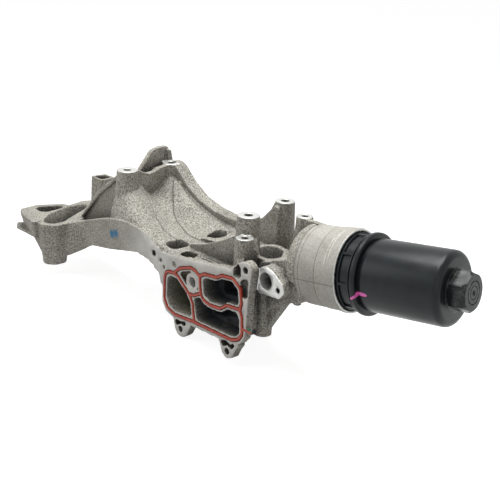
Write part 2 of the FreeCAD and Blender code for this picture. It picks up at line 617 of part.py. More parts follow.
def filter_cap():
    """Cap moulding: threaded skirt, windowed collar, bead, domed cup and hexagon."""
    root = bore_r - run_gap - 1.1
    crest = bore_r - run_gap
    profile = [(skirt_end, root - 1), (skirt_end + 1, root)]
    s = -21.5
    while s < -8:
        profile += [(s, root), (s + 0.9, crest), (s + 1.5, crest), (s + 2.4, root)]
        s += thread_pitch
    profile += [(seal_s0 - 1.2, root), (seal_s0 - 1.2, crest + 0.6), (seal_s0, crest + 0.6),
                (seal_s0, seal_in_r), (seal_s1, seal_in_r), (seal_s1, collar_out_r - 0.4),
                (run_gap, collar_out_r), (collar_end - 0.4, collar_out_r), (collar_end, collar_out_r - 1.7),
                (collar_end + 1.2, collar_out_r - 1.7), (collar_end + 1.6, bead_r - 0.8),
                (collar_end + 2.2, bead_r, 0.9),
                (bead_end - 1.2, bead_r, 1.2),
                (bead_end, bead_r - 1.4, 0.6), (bead_end + 0.4, body_r - 1.2), (bead_end + 2.6, body_r - 1.2),
                (bead_end + 3.6, body_r, 1), (hex_base, body_r, 9.5), (hex_base, 19.4, 0.6),
                (hex_base + 1.2, 18.9), (hex_base + 1.2, 0), (hex_base - cap_wall, 0),
                (hex_base - cap_wall, body_r - cap_wall, 6.5), (skirt_end, body_r - cap_wall)]
    cup = turned(profile)
    head = hexagon(hex_base - 1, hex_end, hex_flats).common(
        turned([(hex_base - 2, 0), (hex_base - 2, 20), (hex_end - 3.2, 18.9), (hex_end, 15.6),
                (hex_end, 0)]))
    cup = cup.fuse([head, ring(cup_tube_end, hex_base - 1, core_r - 1.8, core_r)])
    rib = Part.makeBox(9.2, window_rib, 8, V(2.4, -window_rib / 2, collar_out_r - 5))
    rib.rotate(V(0, 0, 0), V(1, 0, 0), 2)
    panes = ring(2.6, collar_end - 1.8, collar_out_r - window_recess, collar_out_r + 1)
    cuts = [panes.cut(around(rib, windows))]
    cuts.append(turned([(hex_end - 1.0, 9.4), (hex_end + 1, 9.4), (hex_end + 1, 10.4),
                        (hex_end - 1.0, 10.4)]))
    cuts.append(turned([(hex_end - 0.8, 5.4), (hex_end + 1, 5.4), (hex_end + 1, 6.2),
                        (hex_end - 0.8, 6.2)]))
    cuts.append(turned([(hex_end - 2.2, 0), (hex_end - 0.4, 2.4), (hex_end + 1, 2.4),
                        (hex_end + 1, 0)]))
    cuts.append(turned([(hex_base - 5, 0), (hex_base - 5, 10.2), (hex_end - 5, 9.6), (hex_end - 5, 0)]))
    return on_canister(cup.cut(cuts))


def cap_seal():
    """Sealing ring under the cap's collar."""
    mid = (seal_s0 + seal_s1) / 2
    half = (seal_s1 - seal_s0) / 2
    return on_canister(Part.makeTorus(seal_in_r + half, half, V(mid, 0, 0), V(1, 0, 0)))


def element_media():
    """Pleated paper star of the cartridge."""
    outer = []
    inner = []
    for k in range(2 * pleats):
        a = math.pi * k / pleats
        tip = k % 2 == 0
        for ring_points, r in ((outer, media_r if tip else media_inner_r + 3),
                               (inner, media_r - 3 if tip else media_inner_r)):
            ring_points.append(V(media_start, r * math.cos(a), r * math.sin(a)))
    star = Part.Face(Part.makePolygon(outer + outer[:1]))
    star = star.cut(Part.Face(Part.makePolygon(inner + inner[:1])))
    return on_canister(star.extrude(V(media_end - media_start, 0, 0)))


def element_outer_disc():
    """End disc at the cap, with the port that the bypass valve closes."""
    disc = turned([(media_end, bypass_port_r), (media_end, media_r + 1.2, 0.8),
                   (media_end + disc_thick, media_r + 1.2, 0.8),
                   (media_end + disc_thick, bypass_port_r)])
    return on_canister(disc)


def element_inner_disc():
    """End disc at the housing floor, with the pipe collar and the drain pin."""
    s0 = media_start - disc_thick
    disc = turned([(s0, pipe_seal_r), (s0, media_r + 1.2, 0.8), (media_start, media_r + 1.2, 0.8),
                   (media_start, core_r - core_wall), (s0 + 9, core_r - core_wall),
                   (s0 + 9, pipe_seal_r)])
    pin = Part.makeCylinder(drain_pin_r, s0 - drain_tip, V(drain_tip, 0, -drain_offset), V(1, 0, 0))
    neck = ring(drain_tip + 1.6, drain_tip + 3.6, drain_pin_r - 0.8, drain_pin_r + 2)
    neck.translate(V(0, 0, -drain_offset))
    return on_canister(disc.fuse(pin).cut(neck))


def element_core():
    """Perforated support tube inside the pleats."""
    tube = ring(media_start, media_end, core_r - core_wall, core_r)
    slot = Part.makeBox(7.5, 4 * core_r, 7, V(0, -2 * core_r, -3.5))
    cuts = []
    for row in range(8):
        for angle in (45.0 * (row % 2), 90 + 45.0 * (row % 2)):
            one = slot.copy()
            one.translate(V(media_start + 13 + 9.5 * row, 0, 0))
            one.rotate(V(0, 0, 0), V(1, 0, 0), angle)
            cuts.append(one)
    return on_canister(tube.cut(cuts))


def standpipe():
    """Pipe pressed into the housing floor, which the cartridge slides on to."""
    pipe = turned([(pipe_seat, pipe_r - pipe_wall), (pipe_seat, pipe_r), (pipe_end - 1.5, pipe_r),
                   (pipe_end, pipe_r - 0.8), (pipe_end, pipe_r - pipe_wall)])
    return on_canister(pipe)


def standpipe_seal():
    """Lip ring between the standpipe and the cartridge's collar."""
    s0 = media_start - disc_thick + 2
    return on_canister(turned([(s0, pipe_r + 0.1), (s0, pipe_seal_r), (s0 + 3.4, pipe_seal_r),
                               (s0 + 3.4, pipe_r + 0.9), (s0 + 1.4, pipe_r + 0.1)]))


def drain_seal():
    """Small ring on the drain pin."""
    half = 1.0
    spot = V(drain_tip + 1.6 + half, 0, -drain_offset)
    return on_canister(Part.makeTorus(drain_pin_r - 0.8 + half, half, spot, V(1, 0, 0)))


# The bypass valve in the cartridge's core

def bypass_cage():
    """Cup that holds the bypass spring, open at the side for the oil."""
    out = core_r - core_wall
    cup = turned([(bypass_s0, 3.0), (bypass_s0, out), (media_end, out), (media_end, out - 1.4),
                  (bypass_s0 + 1.6, out - 1.4), (bypass_s0 + 1.6, 3.0)])
    port = Part.makeBox(8, 4 * out, 6, V(bypass_s0 + 4, -2 * out, -3))
    return on_canister(cup.cut([port] + around(port, 4)[1:2]))


def bypass_poppet():
    """Poppet that closes the port in the outer disc."""
    s1 = media_end - 0.05
    return on_canister(turned([(s1 - 6, 0), (s1 - 6, 2.4), (s1 - 1.8, 2.4), (s1 - 1.8, 7.6),
                               (s1, 7.6), (s1, 0)]))


def coil(s0, s1, radius, wire, turns):
    """Compression spring on the canister axis."""
    pitch = (s1 - s0 - wire) / turns
    path = Part.makeHelix(pitch, s1 - s0 - wire, radius)
    path.translate(V(0, 0, s0 + wire / 2))
    start = Part.Wire(Part.makeCircle(wire / 2, V(radius, 0, s0 + wire / 2), V(0, 1, 0)))
    spring = Part.Wire(path).makePipeShell([start], True, True)
    spring.rotate(V(0, 0, 0), V(0, 1, 0), 90)
    return spring


def bypass_spring():
    """Spring that holds the poppet shut."""
    return on_canister(coil(bypass_s0 + 1.7, media_end - 1.9, 5.2, 1.1, 5))


# The return valve in the rear port, along Y

def on_port(shape):
    """The shape moved from the X axis to the axis of the return port."""
    moved = shape.copy()
    x, z = return_port
    spot = FreeCAD.Placement(V(x, 0, z), FreeCAD.Rotation(V(0, 0, 1), 90))
    moved.Placement = spot.multiply(shape.Placement)
    return moved


def check_seat():
    """Seat ring pressed into the port."""
    y1 = port_face - 4
    return on_port(turned([(y1 - 3, check_seat_r), (y1 - 3, port_r), (y1, port_r),
                           (y1, check_seat_r)]))


def check_ball():
    """Steel ball on its seat."""
    sink = math.sqrt(check_ball_r ** 2 - check_seat_r ** 2)
    return on_port(Part.makeSphere(check_ball_r, V(port_face - 7 - sink - 0.05, 0, 0)))


def check_cage():
    """Pressed cup that guides the ball and carries the spring."""
    y0 = port_floor + 1.5
    y1 = port_face - 7
    cup = turned([(y0, 2.6), (y0, port_r), (y1, port_r), (y1, check_ball_r + 0.4),
                  (y0 + 1.4, check_ball_r + 0.4), (y0 + 1.4, 2.6)])
    vent = Part.makeBox(6, 4 * port_r, 3.4, V(y0 + 3, -2 * port_r, -1.7))
    return on_port(cup.cut([vent] + around(vent, 4)[1:2]))


def check_spring():
    """Light spring behind the ball."""
    ball_low = port_face - 7 - math.sqrt(check_ball_r ** 2 - check_seat_r ** 2) - check_ball_r
    return on_port(coil(port_floor + 3.0, ball_low + 0.7, 3.5, 1.0, 2.5))


# Seals and plugs of the casting

def cooler_gasket():
    """Moulded silicone gasket in its groove, with its tab over the flange's edge."""
    low = -bead_proud
    bead = gasket_bead(bead_width, low, groove_depth)
    tab = slab([(77, -22.6), (90, -22.2), (92, -20.5), (90, -19), (77, -19.4)], "y", low, 0, 0.8)
    return bead.fuse(tab).removeSplitter()


def port_seals():
    """Sealing rings in the seats of the two rear ports."""
    rings = []
    half = seal_cord / 2
    for (x, z), y in ((feed_port, block_depth), (return_port, port_face)):
        rings.append(Part.makeTorus(seal_out_r - half, half, V(x, y - seal_depth + half, z),
                                    V(0, 1, 0)))
    return Part.makeCompound(rings)


def plug_seats(r, depth):
    """Round seats of the two plugs in the underside of the block."""
    return [Part.makeCylinder(r, depth, V(x, y, z)) for x, y, z in plugs]


def gallery_plugs():
    """Cup plugs pressed into the drillings from below."""
    cups = []
    for x, y, z in plugs:
        cup = Part.makeCylinder(plug_r, 5, V(x, y, z + 2.4))
        cups.append(cup.cut(Part.makeCylinder(plug_r - 1.2, 3.8, V(x, y, z + 2.4))))
    return Part.makeCompound(cups)


NODES = {
    "housing_casting": housing_casting,
    "cooler_gasket": cooler_gasket,
    "filter_cap": filter_cap,
    "cap_seal": cap_seal,
    "element_media": element_media,
    "element_outer_disc": element_outer_disc,
    "element_inner_disc": element_inner_disc,
    "element_core": element_core,
    "standpipe": standpipe,
    "standpipe_seal": standpipe_seal,
    "drain_seal": drain_seal,
    "bypass_cage": bypass_cage,
    "bypass_poppet": bypass_poppet,
    "bypass_spring": bypass_spring,
    "check_seat": check_seat,
    "check_ball": check_ball,
    "check_cage": check_cage,
    "check_spring": check_spring,
    "port_seals": port_seals,
    "gallery_plugs": gallery_plugs,
}


def main():
    """Write every node's STEP file."""
    os.makedirs("parts", exist_ok=True)
    for name, make in NODES.items():
        shape = make()
        shape.exportStep("parts/" + name + ".step")
        box = shape.BoundBox
        print(name, len(shape.Solids), "solids", round(shape.Volume / 1000, 1), "cm3",
              shape.isValid(), [round(c, 1) for c in (box.XMin, box.YMin, box.ZMin,
                                                      box.XMax, box.YMax, box.ZMax)])


main()
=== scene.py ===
import math
import bmesh
import bpy
import numpy as np
from mathutils import Matrix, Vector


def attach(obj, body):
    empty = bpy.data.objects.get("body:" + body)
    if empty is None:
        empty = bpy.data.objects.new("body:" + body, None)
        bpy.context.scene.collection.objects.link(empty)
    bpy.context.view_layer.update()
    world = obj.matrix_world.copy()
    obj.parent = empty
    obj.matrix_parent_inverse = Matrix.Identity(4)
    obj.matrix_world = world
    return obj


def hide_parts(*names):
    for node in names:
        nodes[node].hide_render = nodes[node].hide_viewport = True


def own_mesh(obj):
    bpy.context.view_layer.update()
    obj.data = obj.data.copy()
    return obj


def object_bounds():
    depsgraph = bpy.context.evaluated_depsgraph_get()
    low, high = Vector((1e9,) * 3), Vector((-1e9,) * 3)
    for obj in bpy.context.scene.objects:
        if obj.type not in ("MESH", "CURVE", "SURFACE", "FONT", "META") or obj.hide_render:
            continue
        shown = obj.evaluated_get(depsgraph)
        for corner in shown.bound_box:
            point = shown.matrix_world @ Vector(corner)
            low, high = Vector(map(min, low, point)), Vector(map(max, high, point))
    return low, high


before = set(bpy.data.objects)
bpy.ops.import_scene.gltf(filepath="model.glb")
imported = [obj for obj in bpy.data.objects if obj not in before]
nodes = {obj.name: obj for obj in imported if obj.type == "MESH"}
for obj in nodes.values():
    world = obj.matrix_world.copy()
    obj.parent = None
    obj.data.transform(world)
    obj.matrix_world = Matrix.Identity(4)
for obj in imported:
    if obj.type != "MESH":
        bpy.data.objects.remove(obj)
cad_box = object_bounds()
MM = 0.001

# The canister's mouth in millimetres, and its own axes: along it towards the cap, across it, and up
# across it.
MOUTH = np.array([160.0, 62.0, 50.0])
YAW, RISE = math.radians(9.8), math.radians(6.5)
ALONG = np.array([math.cos(RISE) * math.cos(YAW), math.cos(RISE) * math.sin(YAW), math.sin(RISE)])
ACROSS = np.array([-math.sin(YAW), math.cos(YAW), 0.0])
UPWARD = np.cross(ALONG, ACROSS)

# The pink mark as distance, turn from UPWARD towards ACROSS in degrees, radius and size of each blob.
PAINT = [(16.0, -109.4, 37.4, 1.5), (17.2, -108.4, 37.5, 1.2), (18.4, -107.2, 37.2, 1.4),
         (19.3, -106.6, 35.6, 1.7), (20.3, -105.6, 33.2, 2.6), (22.4, -105.0, 32.3, 1.9),
         (24.4, -104.2, 32.8, 2.1), (26.8, -104.6, 32.8, 1.9), (28.6, -104.8, 32.8, 1.2)]

# Machined boss faces, each with x, y, height and radius, and the holes through them.
BOSSES = [(-145, 21, 78, 11.5, 4.2), (-145, 80, 78, 10.0, 4.2), (47, 29, 78, 11.0, 4.3),
          (58.5, 15.5, 61, 8.5, 3.6), (32, 90, 78, 10.0, 4.3), (74.5, 76.5, 76, 8.2, 3.4)]

# Other machined places: the sensor port's bore, screw hole and face, the foot boss, the rear ports and
# the flange's bolt holes.
SENSOR, SENSOR_SCREW, SENSOR_FACE = (95.3, 30.7), (112, 27), 10.4
FOOT_BOSS = (76, 28)
REAR_PORTS = [(-20, -24, 44), (30, -27, 58)]
FLANGE_HOLES = [(-65, 11), (79, 38), (57, -52.5), (-17, -57)]

# Edges of the raised pad and of the fold on the dish, in plan.
PAD_EDGE = [(-131, 73), (-124, 67), (-102, 52), (-84.5, 43.5), (-60, 39.5), (-38, 40)]
FOLD_EDGE = [(-138, 31), (-128, 37), (-102, 28), (-77, 21), (-58, 23), (-40, 28)]

# Marking ink as place, reach and colour, in metres: two blue dabs on the arm's front wall, and a green
# one on the flange's side beside the gasket's tab.
INKS = [((-0.1360, 0.0, 0.0118), 0.0095, "#1f6f9a"), ((-0.1432, 0.0, 0.0090), 0.0100, "#1f6f9a"),
        ((0.0838, 0.0045, -0.0219), 0.0055, "#2f9e7d")]

# Seams round the canister as distance and width, drawn in painted shade, and scratches as distance, turn
# and reach, in metres from its mouth and degrees.
SEAMS = [(-0.0221, 0.0012), (-0.0396, 0.0010), (-0.0435, 0.0014)]
SCRATCHES = [(-0.0095, -30, 0.026), (-0.0125, -48, 0.018), (-0.0110, -22, 0.012)]

# Cap sizes in millimetres, along the canister's axis from its mouth and out from the axis.
CUP_R, COLLAR_R, BEAD_R, CUP_IN_R = 32.8, 35.3, 37.4, 29.8
SKIRT_END, CUP_END, CUP_FLOOR, HEX_END = -24.0, 97.0, 94.0, 112.8
HEX_FLATS, WINDOWS, WINDOW_RECESS, WINDOW_R = 32.0, 8, 1.7, 34
CAP_COLUMNS = 576

# Cells of the remeshed skins in millimetres, and the most triangles that the casting keeps.
CAST_CELL, BEAD_CELL, CAST_TRIANGLES = 0.8, 0.5, 190000

# The photograph's viewpoint in degrees and metres, and its lens and film in millimetres.
VIEW_TURN, VIEW_DOWN, VIEW_ROLL = 48.4, 20.0, 2.7
VIEW_SPOT, LENS, FILM_WIDTH = (0.68659, -0.53502, 0.35303), 68.4, 36.0

# Studio: the world's light on surfaces, the floor's paper, glow and reach, and each lamp's place, power
# in watts and size. Each lamp faces the origin.
WORLD_LIGHT, FLOOR_PAPER, FLOOR_GLOW, FLOOR_REACH = 0.24, 0.45, 0.88, 4
LAMPS = [("overhead", (-0.10, 0.05, 1.20), 18.0, 0.8), ("front", (-0.75, -1.05, 0.70), 3.5, 0.8),
         ("right", (1.2, -0.5, 0.6), 0.8, 0.7)]


# Colours and nodes

def srgb(code):
    """Linear colour of an sRGB hex code."""
    parts = [int(code[i:i + 2], 16) / 255 for i in (1, 3, 5)]
    return tuple(c / 12.92 if c <= 0.04045 else ((c + 0.055) / 1.055) ** 2.4 for c in parts) + (1.0,)


def add(tree, kind, inputs=None, **settings):
    """Adds a node with its settings, its inputs being values or the outputs of other nodes."""
    node = tree.nodes.new(kind)
    for key, value in settings.items():
        setattr(node, key, value)
    for key, value in (inputs or {}).items():
        if isinstance(value, bpy.types.NodeSocket):
            tree.links.new(value, node.inputs[key])
        else:
            node.inputs[key].default_value = value
    return node


def blank(name):
    """An empty material with its node tree and its Object coordinates."""
    material = bpy.data.materials.new(name)
    material.use_nodes = True
    tree = material.node_tree
    tree.nodes.clear()
    return material, tree, add(tree, "ShaderNodeTexCoord").outputs["Object"]


def close(tree, surface):
    """Links the finished shader to the material's output."""
    add(tree, "ShaderNodeOutputMaterial", {"Surface": surface})


def ramp(tree, value, low, high, start=0.0, end=1.0):
    """The value's place between low and high, clamped and drawn out from start to end."""
    return add(tree, "ShaderNodeMapRange", {"Value": value, "From Min": low, "From Max": high,
                                            "To Min": start, "To Max": end}).outputs[0]


def noise(tree, at, scale, detail, roughness=0.5):
    """Fractal noise between nothing and one, with a cell of about one over the scale in metres."""
    return add(tree, "ShaderNodeTexNoise", {"Vector": at, "Scale": scale, "Detail": detail,
                                            "Roughness": roughness}).outputs["Fac"]


def own(tree, name):
    """A number that the mesh carries for each vertex."""
    return add(tree, "ShaderNodeAttribute", attribute_name=name).outputs["Fac"]


def painted_corner_shade(tree, distance, samples, low, high, darkest):
    """Painted shade: one in the open, falling to the darkest share in corners closed in within the
    distance.
    """
    open_share = add(tree, "ShaderNodeAmbientOcclusion", {"Distance": distance}, samples=samples)
    return ramp(tree, open_share.outputs["AO"], low, high, darkest)


def maths(tree, kind, *values):
    """Result of a sum on values."""
    return add(tree, "ShaderNodeMath", dict(enumerate(values)), operation=kind).outputs[0]


def scaled(tree, colour, share):
    """The colour made darker or lighter by the share."""
    return add(tree, "ShaderNodeVectorMath", {0: colour, "Scale": share}, operation="SCALE").outputs[0]


def over(tree, share, under, top):
    """The top colour laid over the one under it by the share."""
    return add(tree, "ShaderNodeMix", {0: share, 6: under, 7: top}, data_type="RGBA").outputs[2]


def spot_of(tree, at, centre, near, far):
    """One within the near distance of a place, falling to nothing at the far one, in metres."""
    reach = add(tree, "ShaderNodeVectorMath", {0: at, 1: centre}, operation="DISTANCE")
    return ramp(tree, reach.outputs["Value"], far, near)


def ink(tree, at, speck, under, centre, radius, colour):
    """Marking ink dabbed on the rough skin: dense in the middle, broken by the grit towards its edge."""
    fall = spot_of(tree, at, centre, 0.0, radius)
    broken = maths(tree, "MULTIPLY_ADD", speck, 0.65, fall)
    return over(tree, ramp(tree, broken, 0.84, 0.98, 0.0, 0.9), under, colour)


def line_at(tree, value, middle, width, share=1.0):
    """The share where the value is at the line's middle, falling to nothing at half the width."""
    off = maths(tree, "ABSOLUTE", maths(tree, "SUBTRACT", value, middle))
    return ramp(tree, off, width / 2, width / 6, 0.0, share)


def times(tree, a, b):
    """Product of two shares."""
    return maths(tree, "MULTIPLY", a, b)


def towards(tree, arm, direction):
    """How far an arm from a place reaches in a direction."""
    product = add(tree, "ShaderNodeVectorMath", {0: arm, 1: tuple(direction)}, operation="DOT_PRODUCT")
    return product.outputs["Value"]


# Finishes

def canister_marks(tree, at, under, smooth, broken):
    """Painted shade along the mould's seams round and along the canister, and fine scratches round it
    near its mouth.
    """
    arm = add(tree, "ShaderNodeVectorMath", {0: at, 1: tuple(MOUTH * MM)}, operation="SUBTRACT")
    arm = arm.outputs[0]
    along = towards(tree, arm, ALONG)
    # Painted shade: the seams' grooves and steps are too fine for the remeshed skin and are drawn as
    # dark lines.
    dark = srgb("#5d5a53")
    for middle, width in SEAMS:
        seam_shade = line_at(tree, along, middle, width, 0.6)
        under = over(tree, times(tree, seam_shade, smooth), under, dark)
    # A dark line of painted shade along the parting line down the canister's side.
    out = on_cap(0, -96, 1) - MOUTH
    side = ramp(tree, towards(tree, arm, out), 0.030, 0.033)
    seam_shade = line_at(tree, towards(tree, arm, np.cross(ALONG, out)), 0.0, 0.0012, 0.6)
    under = over(tree, times(tree, times(tree, seam_shade, side), smooth), under, dark)
    for middle, turn, reach in SCRATCHES:
        near = spot_of(tree, at, tuple(on_cap(middle / MM, turn, 37.5) * MM), reach * 0.6, reach)
        mark = times(tree, times(tree, line_at(tree, along, middle, 0.0007, 0.9), near), broken)
        under = over(tree, times(tree, mark, smooth), under, srgb("#efebdc"))
    return under


def blasted_skin(tree, at, grit, speck, cloud, stain):
    """Colour of the cast skin: speckled grey with flecks, stains, painted shade in closed-in corners and
    pale rims that are partly a painted highlight.
    """
    base = over(tree, speck, srgb("#5d5a52"), srgb("#cbc8be"))
    # Dark flecks of 2 to 3 mm where the skin is pitted.
    fleck = ramp(tree, noise(tree, at, 330.0, 2.0, 0.7), 0.54, 0.66, 0.0, 0.42)
    base = over(tree, fleck, base, srgb("#4f4c45"))
    # The canister was cast smoother and cleaner than the arm.
    smooth = own(tree, "smooth_skin")
    base = over(tree, smooth, base, over(tree, speck, srgb("#a19e97"), srgb("#bdbab2")))
    # Stains of about 20 mm, and brown ones of about 13 mm.
    base = scaled(tree, base, stain)
    brown = ramp(tree, noise(tree, at, 75.0, 3.0), 0.58, 0.75, 0.0, 0.35)
    base = over(tree, brown, base, srgb("#8b8069"))
    # Painted shade: corners closed in within 30 mm are darker, and so is the foot of each step.
    wide_shade = painted_corner_shade(tree, 0.030, 8, 0.36, 0.80, 0.28)
    tight_shade = painted_corner_shade(tree, 0.005, 6, 0.45, 0.90, 0.62)
    base = scaled(tree, base, times(tree, wide_shade, tight_shade))
    # Rims are lighter, partly rubbed by handling and partly a painted highlight where the rounded edge
    # catches the light.
    edge = add(tree, "ShaderNodeNewGeometry").outputs["Pointiness"]
    base = over(tree, ramp(tree, edge, 0.53, 0.60, 0.0, 0.8), base, srgb("#d2cfc6"))
    # The walls of the flange's chambers are painted near black, with a mottled brown film in the left
    # one.
    film = over(tree, stain, srgb("#1d1e20"), srgb("#3d4044"))
    mottle = over(tree, ramp(tree, cloud, 0.38, 0.62), srgb("#3a3528"), srgb("#8b8774"))
    film = over(tree, own(tree, "oily_brown"), film, mottle)
    base = over(tree, own(tree, "dark_chamber"), base, film)
    for centre, radius, colour in INKS:
        base = ink(tree, at, speck, base, centre, radius, srgb(colour))
    fine = ramp(tree, grit, 0.36, 0.5)
    base = canister_marks(tree, at, base, smooth, fine)
    # The pad and the fold on the dish each end in a fine dark line of painted shade, where each step's
    # small wall is in shadow.
    for name, depth in (("pad_edge", 0.62), ("fold_edge", 0.5)):
        crease_shade = line_at(tree, own(tree, name), 0.0, 2.0, depth)
        base = over(tree, times(tree, crease_shade, fine), base, srgb("#45423b"))
    return base, smooth


def cast_aluminium():
    """Die-cast aluminium, shot-blasted: the skin is speckled grey, rims are lighter, partly rubbed
    bright and partly a painted highlight, closed-in corners are darkened by painted shade, the flange's
    chambers are painted near black, and the machined faces are clean with fine tool marks."""
    material, tree, at = blank("cast_aluminium_blasted")
    # Grit of about 1.3 mm, the size at which the real, finer speckle still shows.
    grit = noise(tree, at, 700.0, 3.0, 0.6)
    speck = ramp(tree, grit, 0.33, 0.67)
    cloud = noise(tree, at, 42.0, 4.0, 0.55)
    stain = ramp(tree, cloud, 0.3, 0.7, 0.84, 1.10)
    base, smooth = blasted_skin(tree, at, grit, speck, cloud, stain)
    # The flange face: milled, then dulled by handling.
    milled = own(tree, "milled")
    marks = noise(tree, at, 900.0, 2.0)
    worn = scaled(tree, over(tree, marks, srgb("#b4b2ac"), srgb("#c9c7c1")), stain)
    base = over(tree, milled, base, worn)
    # Boss faces and seats: pale bare metal with milling marks of about a millimetre.
    cut = own(tree, "machined")
    colour = over(tree, cut, base, over(tree, marks, srgb("#bdbdb9"), srgb("#d6d6d3")))
    clean = maths(tree, "MAXIMUM", cut, milled)
    calm = ramp(tree, smooth, 0.0, 1.0, 1.0, 0.35)
    depth = times(tree, ramp(tree, clean, 0.0, 1.0, 0.7, 0.05), calm)
    bump = add(tree, "ShaderNodeBump", {"Height": grit, "Strength": depth, "Distance": 0.0004})
    shader = add(tree, "ShaderNodeBsdfPrincipled", {
        "Base Color": colour, "Roughness": ramp(tree, clean, 0.0, 1.0, 0.70, 0.42),
        "Metallic": ramp(tree, cut, 0.0, 1.0, 0.10, 0.60), "Normal": bump.outputs[0],
        "Specular IOR Level": 0.3})
    close(tree, shader.outputs[0])
    return material


def moulded_nylon():
    """Glass-filled black nylon, moulded with a fine spark-eroded grain and scuffed on its hexagon."""
    material, tree, at = blank("black_nylon_moulded")
    # Mould grain, drawn at 0.8 mm so that it shows.
    grain = noise(tree, at, 1300.0, 2.0)
    dust = ramp(tree, noise(tree, at, 55.0, 5.0, 0.6), 0.4, 0.75)
    base = over(tree, dust, srgb("#0f1416"), srgb("#182022"))
    # Scuffs on the hexagon, where a socket has turned it.
    rub = ramp(tree, noise(tree, at, 160.0, 6.0, 0.7), 0.5, 0.72)
    base = over(tree, times(tree, own(tree, "scuffed"), rub), base, srgb("#5c5d59"))
    # Pink paint mark dabbed over the bead by hand after assembly: blobs run together along a stroke.
    blobs = [spot_of(tree, at, tuple(on_cap(s, turn, radius) * MM), size * 0.88 * MM, size * MM)
             for s, turn, radius, size in PAINT]
    paint = blobs[0]
    for blob in blobs[1:]:
        paint = maths(tree, "MAXIMUM", paint, blob)
    base = over(tree, paint, base, srgb("#ff7dd2"))
    bump = add(tree, "ShaderNodeBump", {"Height": grain, "Strength": 0.12, "Distance": 0.0002})
    shader = add(tree, "ShaderNodeBsdfPrincipled", {
        "Base Color": base, "Roughness": ramp(tree, dust, 0.0, 1.0, 0.28, 0.40),
        "Normal": bump.outputs[0], "Specular IOR Level": 0.25})
    close(tree, shader.outputs[0])
    return material


def plain_finish(name, low, high, size_mm, roughness, metallic=0.0, depth=0.15):
    """A finish whose colour wanders between two near tones over the given real size."""
    material, tree, at = blank(name)
    tone = noise(tree, at, 800.0 / size_mm, 3.0)
    colour = over(tree, ramp(tree, tone, 0.35, 0.65), srgb(low), srgb(high))
    bump = add(tree, "ShaderNodeBump", {"Height": tone, "Strength": depth, "Distance": 0.0002})
    shader = add(tree, "ShaderNodeBsdfPrincipled", {"Base Color": colour, "Roughness": roughness,
                                                    "Metallic": metallic, "Normal": bump.outputs[0]})
    close(tree, shader.outputs[0])
    return material


# Meshes

def link(name, mesh):
    """A new object at the origin for the mesh."""
    obj = bpy.data.objects.new(name, mesh)
    bpy.context.scene.collection.objects.link(obj)
    return obj


def merged(node, name):
    """A copy of a CAD node's mesh with its loose triangles joined."""
    mesh = nodes[node].data.copy()
    work = bmesh.new()
    work.from_mesh(mesh)
    bmesh.ops.remove_doubles(work, verts=work.verts, dist=2e-6)
    work.to_mesh(mesh)
    work.free()
    mesh.materials.clear()
    return link(name, mesh)


def baked(obj):
    """The object's mesh with its modifiers applied, and none left."""
    shape = bpy.data.meshes.new_from_object(obj.evaluated_get(bpy.context.evaluated_depsgraph_get()))
    obj.modifiers.clear()
    obj.data = shape
    return shape


def vertices(mesh):
    """Vertex places in millimetres."""
    flat = np.empty(len(mesh.vertices) * 3, dtype=np.float32)
    mesh.vertices.foreach_get("co", flat)
    return flat.reshape(-1, 3).astype(float) / MM


def place(mesh, points):
    """Writes vertex places given in millimetres."""
    mesh.vertices.foreach_set("co", (points * MM).astype(np.float32).ravel())
    mesh.update()


def inside_box(points):
    """The points held within the box of the CAD model."""
    return np.clip(points, np.array(cad_box[0]) / MM + 0.001, np.array(cad_box[1]) / MM - 0.001)


def beside(points, path):
    """Distance in plan from a path, in millimetres and less than nothing on its right. Past its ends and
    away from the dish it is far."""
    best = np.full(len(points), 9.0)
    x, y, z = points.T
    for (ax, ay), (bx, by) in zip(path, path[1:]):
        length = math.hypot(bx - ax, by - ay)
        ux, uy = (bx - ax) / length, (by - ay) / length
        along = (x - ax) * ux + (y - ay) * uy
        off = (y - ay) * ux - (x - ax) * uy
        fit = (along > -0.5) & (along < length + 0.5) & (np.abs(off) < np.abs(best)) & (z > 16)
        best = np.where(fit, off, best)
    return best


def relaxed(mesh, points, hold, rounds):
    """Rounds the skin: each point moves towards the mean of its neighbours and a little back again,
    by a share that falls to nothing where hold is one."""
    pairs = np.empty(len(mesh.edges) * 2, dtype=np.int32)
    mesh.edges.foreach_get("vertices", pairs)
    a, b = pairs.reshape(-1, 2).T
    count = len(points)
    near = np.bincount(a, minlength=count) + np.bincount(b, minlength=count)
    for k in range(rounds):
        for share in (0.60, -0.45):
            mean = np.stack([np.bincount(a, points[b, i], count) + np.bincount(b, points[a, i], count)
                             for i in range(3)], 1) / near[:, None]
            points = points + (share * (1 - hold))[:, None] * (mean - points)
    return points


def attribute(mesh, name, values):
    """A number for each vertex, which a material reads by name."""
    mesh.attributes.new(name, "FLOAT", "POINT").data.foreach_set("value", values.astype(np.float32))


def grid_mesh(name, rows):
    """Closed surface of rows of points, joined round each row and from the last row to the first."""
    n, m = rows.shape[:2]
    k = np.arange(n * m).reshape(n, m)
    below = np.roll(k, -1, 0)
    faces = np.stack([k, np.roll(k, -1, 1), np.roll(below, -1, 1), below], -1).reshape(-1, 4)
    mesh = bpy.data.meshes.new(name)
    mesh.from_pydata((rows.reshape(-1, 3) * MM).tolist(), [], faces.tolist())
    mesh.validate()
    mesh.update()
    return mesh


def step(value, low, high):
    """Smooth rise from nothing at low to one at high."""
    t = np.clip((value - low) / (high - low), 0, 1)
    return t * t * (3 - 2 * t)


def canister_frame(points):
    """Distance along the canister from its mouth, and radius and angle about its axis."""
    away = points - MOUTH
    s, p, q = away @ ALONG, away @ ACROSS, away @ UPWARD
    return s, np.hypot(p, q), np.arctan2(p, q)


def on_cap(s, turn, radius):
    """A place on the cap or canister from its distance, turn in degrees and radius."""
    a = math.radians(turn)
    return MOUTH + s * ALONG + radius * (math.sin(a) * ACROSS + math.cos(a) * UPWARD)


# The casting

